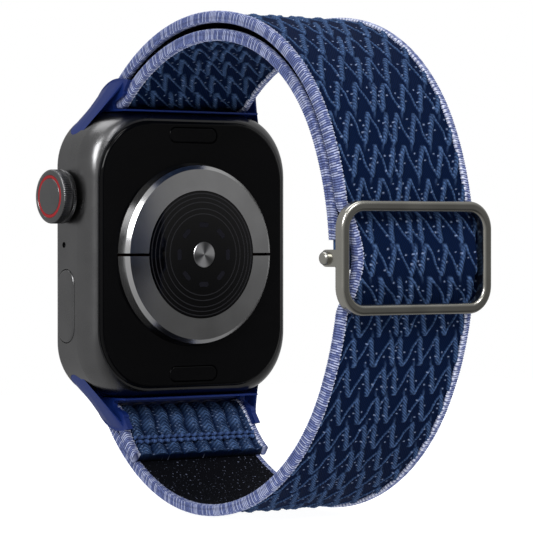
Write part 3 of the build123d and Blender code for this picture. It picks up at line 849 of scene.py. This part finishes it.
@dataclass
class Band:
    """The woven band: upper and lower stretches, folds round the lug bars, tail, stitches and end loop."""

    front: Pair = (-28.8, -0.2)
    radius: float = 44.0
    upper_front: float = 25.6
    lower_front: float = 28.0
    upper_arcs: tuple = ((29.8, 50.8), (35.7, 57.0))
    lower_arcs: tuple = ((33.1, 61.2), (31.4, 52.2))
    clear_sweep: float = 17.2
    wrap_radius: float = 2.15
    thick: float = 1.6
    inner_radii: tuple = (33.2, 27.6, 41.6)
    tail_clear: float = 4.1
    lower_turn: float = 172.0
    flap_sweep: float = 17.0
    bar_y: float = -26.85
    loop_radius: float = 1.62
    flap_gap: float = 0.05
    stitch: float = 1.25
    stitch_reach: float = 11.3
    stitch_rows: Pair = (3.1, 2.35)
    thread_sides: int = 12
    loop_bore: float = 0.63
    loop_half: float = 11.4
    loop_columns: int = 140

    def upper_path(self) -> Path:
        """Up from the buckle, round the upper lug bar and back along the inside to the tail's end."""
        path = Path(self.front, 90.0, 1).arc(self.radius, -self.upper_front)
        for radius, sweep in self.upper_arcs:
            path.arc(radius, -sweep)
        path.arc(self.wrap_radius, -180.0)
        sweeps = (self.upper_arcs[1][1], self.upper_arcs[0][1], self.upper_front - self.tail_clear)
        for radius, sweep in zip(self.inner_radii, sweeps):
            path.arc(radius - self.thick, sweep)
        return path

    def lower_path(self) -> Path:
        """Down from the buckle, round the lower lug bar and back to the sewn end."""
        path = Path(self.front, -90.0, -1).arc(self.radius, self.lower_front)
        for radius, sweep in self.lower_arcs:
            path.arc(radius, sweep)
        outer = path.length
        path.arc(self.wrap_radius, self.lower_turn)
        back = outer - np.radians(self.flap_sweep) * self.lower_arcs[-1][0]
        place, outward = path.at(np.array([back]))
        target = place[0] - outward[0] * (2 * self.thick + self.flap_gap)
        swept = self.lower_front + sum(sweep for _, sweep in self.lower_arcs) - self.flap_sweep
        return path.reach(target, -90 + swept + 180, 3.0)

    def stitches(self, path: Path, thread: Material) -> None:
        """Two rows of thread across the sewn end, each a cord whose girth swells once a stitch."""
        turn = np.linspace(0, TAU, self.thread_sides, endpoint=False)[None, :]
        x = np.linspace(-self.stitch_reach, self.stitch_reach, 300)[:, None]
        rows, yarn, cloth = [], [], []
        for number, back in enumerate(self.stitch_rows):
            place, outward = path.at(np.array([path.length - back]))
            heading = np.array([outward[0, 1], -outward[0, 0]])
            stitch = 0.5 + 0.5 * np.cos(TAU * (x + number * 0.5) / self.stitch)
            girth = 0.2 + 0.12 * stitch
            up = girth * np.sin(turn) + 0.02 + 0.1 * stitch
            over = girth * np.cos(turn) + 0.08 * np.sin(TAU * x / self.stitch)
            y, z = (place[0, i] + outward[0, i] * up + heading[i] * over for i in (0, 1))
            rows.append(np.stack([x + 0 * turn, y, z], -1))
            yarn.append(0.15 + 0.7 * stitch * (0.6 + 0.4 * np.sin(x * 21 + turn)))
            cloth.append(rows[-1][..., :2])
        row = solid("flap_stitches", rows, {"yarn": yarn, "fleck": [0 * grid for grid in yarn]}, cloth)
        finish_piece(row, thread, ())
        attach(row, "band")

    def end_loop(self, cloth: Material) -> None:
        """The band's inner end sewn round the centre bar: a ring section that runs out into a short lip."""
        angle = np.radians(np.linspace(75, 395, 60))
        ringed = self.loop_radius + 0.04 * np.cos(angle * 9)
        route, hole = (
            np.stack([self.bar_y + radius * np.cos(angle), self.front[1] + radius * np.sin(angle)], -1)
            for radius in (ringed, self.loop_bore)
        )
        lip = route[-1:] + np.linspace(0.3, 2.3, 8)[:, None] * np.array([0.02, 1.0])
        lip_back = lip + np.array([-0.95, 0.1])
        section = np.vstack([route, lip, lip_back[::-1], hole[::-1]])
        across = np.linspace(-self.loop_half, self.loop_half, self.loop_columns)[:, None]
        points = np.empty((self.loop_columns, len(section), 3))
        points[..., 0] = across
        points[..., 1:] = section[None, :, :]
        yarn = 0.25 + 0.25 * np.sin(across * 7.5) + 0 * points[..., 1]
        numbers = {"yarn": [yarn], "fleck": [0 * yarn], "face": [0 * yarn + 1]}
        loop = solid("end_loop_cloth", [points], numbers, [points[..., [0, 2]]])
        finish_piece(loop, cloth, ("end_loop",))
        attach(loop, "buckle")

    def build(self, finishes: dict[str, Material]) -> None:
        """Make every stretch in order along the band.

        Args:
            finishes: Materials by slot name.
        """
        upper, lower = self.upper_path(), self.lower_path()
        clear = np.radians(self.clear_sweep) * self.radius
        upper_arcs = ((self.radius, self.upper_front), *self.upper_arcs)
        lower_arcs = ((self.radius, self.lower_front), *self.lower_arcs)
        upper_outer, lower_outer = (
            sum(np.radians(sweep) * radius for radius, sweep in arcs) for arcs in (upper_arcs, lower_arcs)
        )
        tail_sweep = np.radians(self.clear_sweep - self.tail_clear)
        tail = upper.length - tail_sweep * (self.inner_radii[-1] - self.thick)
        stretches = [
            Stretch("front_upper", upper, 0, clear, ("front_upper",), bends=True),
            Stretch("outer", upper, clear, upper_outer, ("outer_webbing",), ("outer_binding",)),
            Stretch("inner", upper, upper_outer, tail, ("top_wrap", "inner_webbing"), ("inner_binding",)),
            Stretch("inner_tail", upper, tail, upper.length, ("inner_tail",), bends=True),
            Stretch("front_lower", lower, 0, clear, ("front_lower",), sign=-1, bends=True),
            Stretch("lower", lower, clear, lower_outer, ("lower_webbing",), ("lower_binding",), sign=-1),
            Stretch("sewn_flap", lower, lower_outer, lower.length, ("bottom_wrap", "sewn_flap"), sign=-1,
                    weave=Gathers(), widen=0.07),
        ]
        for stretch in stretches:
            stretch.build(finishes["webbing"], finishes["binding"])
        self.stitches(lower, finishes["thread"])
        self.end_loop(finishes["webbing"])


@dataclass
class Shoulders:
    """Flanks of the lug adapters, sweeping from each cheek down over the case's corner to the slot."""

    back: float = 24.0
    cheek: float = 12.5
    tip: float = 17.45
    corner_x: float = 10.5
    corner_z: float = 13.5
    corner: float = 8.5
    outline: tuple = (
        (9.35, 21.3), (9.35, 22.1), (8.4, 23.75), (6.6, 25.6), (4.2, 26.72), (1.5, 26.95), (0.6, 26.8),
        (1.05, 25.9), (3.2, 25.25), (4.5, 24.1), (5.6, 22.95), (6.8, 21.8), (7.1, 21.2),
    )
    tip_depths: Pair = (5.5, 9.3)
    sink: float = 0.12
    sections: int = 36
    sides: int = 72

    def tube(self, side: int, end: int) -> Array:
        """Sections from the cheek to the tip.

        Along the way the outline's height over the case's corner shrinks by the share left to the power 1.7,
        and its depths are drawn to the tip's by that share to the power 1.2.
        """
        corners = np.array(self.outline + self.outline[:1])
        steps = np.concatenate([[0], np.cumsum(np.hypot(*np.diff(corners, axis=0).T))])
        spread = np.linspace(0, steps[-1], self.sides, endpoint=False)
        depth, height = (np.interp(spread, steps, corners[:, i])[None, :] for i in (0, 1))
        t = np.linspace(0, 1, self.sections)[:, None]
        x = self.cheek + (self.tip - self.cheek) * t
        case = self.corner_z + np.sqrt(self.corner**2 - (x - self.corner_x) ** 2)
        share = (depth - depth.min()) / (depth.max() - depth.min())
        narrow = self.tip_depths[0] + share * (self.tip_depths[1] - self.tip_depths[0])
        keep = (1 - t) ** 1.2
        points = np.empty((self.sections, self.sides, 3))
        points[..., 0] = side * x
        points[..., 1] = self.back + depth * keep + narrow * (1 - keep)
        points[..., 2] = end * (case - self.sink + (height - case[0]) * (1 - t) ** 1.7)
        return points

    def build(self, finishes: dict[str, Material]) -> None:
        """Make one piece for each adapter and let it ride with the band."""
        for place, end in (("top", 1), ("bottom", -1)):
            tubes = [self.tube(side, end) for side in (-1, 1)]
            piece = solid(f"lug_adapter_{place}_flanks", tubes, crease=50.0)
            finish_piece(piece, finishes["lug_plastic"], ())
            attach(piece, "band")


@dataclass
class Crown:
    """Knurled crown: two bands of teeth with a groove between them."""

    axis: Pair = (31.0, 8.9)
    face: float = -22.0
    back: float = -19.5
    radius: float = 4.15
    recess: float = 3.27
    teeth: int = 80
    tooth: float = 0.13
    sides: int = 640

    def build(self, finishes: dict[str, Material]) -> None:
        """Turn the profile about the crown's axis; teeth cut into it as a cosine of the angle.

        Each corner of the profile is a place along the axis, a radius and a share of the tooth depth.
        """
        face, back, rim = self.face, self.back, self.radius
        profile = np.array([
            (face + 0.5, 0.02, 0), (face + 0.5, self.recess, 0), (face + 0.06, self.recess, 0),
            (face, self.recess + 0.06, 0), (face, rim - 0.5, 0), (face + 0.1, rim - 0.22, 0),
            (face + 0.25, rim - 0.05, 0.5), (face + 0.4, rim, 1), (face + 1.0, rim, 1), (face + 1.5, rim, 1),
            (face + 1.6, rim - 0.1, 0.5), (face + 1.66, rim - 0.3, 0), (face + 1.84, rim - 0.3, 0),
            (face + 1.9, rim - 0.1, 1), (face + 2.0, rim - 0.02, 1.6), (back - 0.12, rim - 0.02, 1.6),
            (back, rim - 0.2, 0.6), (back, 1.6, 0), (back, 0.02, 0),
        ])
        turn = np.linspace(0, TAU, self.sides, endpoint=False)[None, :]
        teeth = 0.5 - 0.5 * np.cos(self.teeth * turn)
        x, radius, cut = (profile[:, i, None] for i in range(3))
        radius = radius - self.tooth * cut * teeth
        y, z = self.axis[0] + radius * np.cos(turn), self.axis[1] + radius * np.sin(turn)
        points = np.stack([x + 0 * turn, y, z], -1)
        knob = solid("crown_knob_knurled", [points], crease=40.0)
        finish_piece(knob, finishes["crown_metal"], ("crown_knob",))
        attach(knob, "crown")


@dataclass
class Studio:
    """Camera, lights, world and floor."""

    camera_place: Triple = (-261.7, -342.2, 3.0)
    heading: float = 37.0
    pitch: float = 0.62
    lens: float = 195.7
    floor_gap: float = 0.4
    floor_half: float = 0.3
    dim_side: Triple = (0.48, -0.64, -0.4)
    dim_stops: tuple[Pair, ...] = ((0.15, 1.0), (0.92, 0.04), (0.7, 0.55))
    soft_strength: float = 0.5
    lamps: tuple = (
        ("key_lamp", (-0.50, -0.38, 0.40), 0.35, 4.0),
        ("front_lamp", (0.12, -0.55, 0.50), 0.3, 2.2),
        ("top_lamp", (0.0, 0.15, 0.60), 0.5, 2.0),
    )

    def camera(self) -> None:
        """Long lens that looks a little down across the wrist axis."""
        data = bpy.data.cameras.new("camera")
        data.lens = self.lens
        data.sensor_width = 36.0
        data.clip_start = 0.01
        eye = put("camera", data)
        turn, dip = np.radians(self.heading), np.radians(self.pitch)
        look = Vector((np.sin(turn) * np.cos(dip), np.cos(turn) * np.cos(dip), -np.sin(dip)))
        eye.location = Vector(self.camera_place) * MM
        eye.rotation_euler = look.to_track_quat("-Z", "Y").to_euler()
        bpy.context.scene.camera = eye

    def lamp(self, name: str, place: Triple, size: float, watts: float) -> None:
        """Soft square lamp, in metres, aimed at the object."""
        data = bpy.data.lights.new(name, "AREA")
        data.size = size
        data.energy = watts
        lamp = put(name, data)
        lamp.location = place
        lamp.rotation_euler = (-Vector(place)).to_track_quat("-Z", "Y").to_euler()

    def world(self) -> None:
        """White surroundings to the eye, but dimmer light and reflections from the front and below."""
        world = bpy.data.worlds.new("surroundings")
        tree = Nodes(world)
        here = tree.node("TexCoord").outputs["Generated"]
        aim = tree.node("VectorMath", {"operation": "DOT_PRODUCT"}, {0: here, 1: self.dim_side})
        ramp = tree.node("ValToRGB", {}, {0: aim.outputs["Value"]})
        stops = ramp.color_ramp.elements
        for number, (position, level) in enumerate(self.dim_stops):
            stop = stops[number] if number < len(stops) else stops.new(position)
            stop.position = position
            stop.color = (level, level, level, 1)
        soft = tree.node("Background", {}, {0: ramp.outputs[0], 1: self.soft_strength})
        white = tree.node("Background", {}, {0: (1, 1, 1, 1)})
        seen = tree.node("LightPath").outputs["Is Camera Ray"]
        choose = tree.node("MixShader", {}, {0: seen, 1: soft.outputs[0], 2: white.outputs[0]})
        tree.node("OutputWorld", {}, {0: choose.outputs[0]})
        bpy.context.scene.world = world

    def floor(self) -> None:
        """Pale floor just under the object: it glows, takes soft shadows and stays out of reflections."""
        low = CAD_BOX[0][2] - self.floor_gap * MM
        signs = ((-1, -1), (1, -1), (1, 1), (-1, 1))
        corners = [(x * self.floor_half, y * self.floor_half, low) for x, y in signs]
        mesh = bpy.data.meshes.new("floor")
        mesh.from_pydata(corners, [], [(0, 1, 2, 3)])
        floor = put("floor", mesh)
        shader = Shader("pale_floor")
        cloudy = shader.noise(shader.place(), 40.0)
        shader.colour(shader.mix(cloudy, (0.3, 0.3, 0.3, 1), (0.32, 0.32, 0.32, 1)))
        shader.constants(Roughness=0.9, Emission_Color=(1, 1, 1, 1), Emission_Strength=0.97)
        mesh.materials.append(shader.material)
        floor.visible_glossy = False

    def build(self) -> None:
        """Set up the whole studio."""
        self.camera()
        self.world()
        self.floor()
        for name, place, size, watts in self.lamps:
            self.lamp(name, place, size, watts)
        bpy.context.scene.view_settings.view_transform = "Standard"


def make_finishes() -> dict[str, Material]:
    """Every material, by the slot that it belongs to."""
    finishes = (
        Metal("case_metal", (112, 112, 113), 0.28),
        Gloss("back_gloss", (3, 3, 4)),
        Gloss("display_glass", (5, 5, 7), 0.04),
        Metal("electrode", (212, 212, 213), 0.2, 12000.0, 1e-6),
        SensorGlass("sensor_glass"),
        Gloss("sensor_window", (20, 20, 26), 0.15),
        SpunMetal("bright_metal"),
        Metal("copper", (60, 34, 24), 0.5),
        Moulded("circuit_board", (14, 60, 36), 0.4),
        Metal("foil", (120, 122, 126), 0.4),
        Metal("steel_part", (150, 150, 152), 0.3),
        Moulded("dark_plastic", (16, 16, 18)),
        Moulded("seal", (10, 10, 11), 0.7),
        Metal("crown_metal", (112, 112, 113), 0.28),
        Moulded("red_ring", (122, 14, 20), 0.3),
        Moulded("lug_plastic", (12, 31, 84), 0.42),
        Metal("buckle_metal", (176, 174, 167), 0.24),
        Woven("webbing", (3, 20, 56), (84, 114, 162), (150, 168, 205), lined=True),
        Woven("binding", (44, 56, 112), (150, 164, 218), (232, 236, 250)),
        Woven("thread", (30, 48, 96), (92, 122, 178), (150, 165, 200)),
    )
    return {finish.name: finish.make() for finish in finishes}


NODE_SLOTS = {
    "case_metal": ("case_body", "side_button"),
    "back_gloss": ("back_cover", "release_button_top", "release_button_bottom"),
    "display_glass": ("display_glass",),
    "electrode": ("electrode_upper", "electrode_lower"),
    "sensor_glass": ("sensor_crystal",),
    "sensor_window": ("sensor_windows",),
    "bright_metal": ("sensor_centre",),
    "copper": ("charging_coil",),
    "circuit_board": ("sensor_board", "logic_board"),
    "foil": ("battery",),
    "steel_part": ("haptic_motor", "board_screws", "crown_bushing", "crown_stem", "crown_plunger",
                   "release_spring_top", "release_spring_bottom", "lug_bar_top", "lug_bar_bottom",
                   "lock_pin_top", "lock_pin_bottom", "lock_spring_top", "lock_spring_bottom"),
    "dark_plastic": ("display_module", "loudspeaker", "side_button_switch", "microphone_mesh"),
    "seal": ("display_gasket",),
    "crown_metal": ("crown_cap",),
    "red_ring": ("crown_ring",),
    "lug_plastic": ("lug_adapter_top", "lug_adapter_bottom"),
    "buckle_metal": ("buckle_frame", "centre_bar"),
}


def dress_cad_nodes(finishes: dict[str, Material]) -> None:
    """Give every CAD node that stays its finish.

    Args:
        finishes: Materials by slot name.
    """
    for slot, names in NODE_SLOTS.items():
        for name in names:
            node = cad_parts[name]
            if not node.material_slots:
                node.data.materials.append(None)
            for place in node.material_slots:
                place.material = finishes[slot]


def main() -> None:
    """Build the studio, dress the CAD nodes and make the fabric and the knurled crown."""
    logging.basicConfig(level=logging.INFO)
    Studio().build()
    finishes = make_finishes()
    dress_cad_nodes(finishes)
    Band().build(finishes)
    Shoulders().build(finishes)
    Crown().build(finishes)


if __name__ == "__main__":
    main()
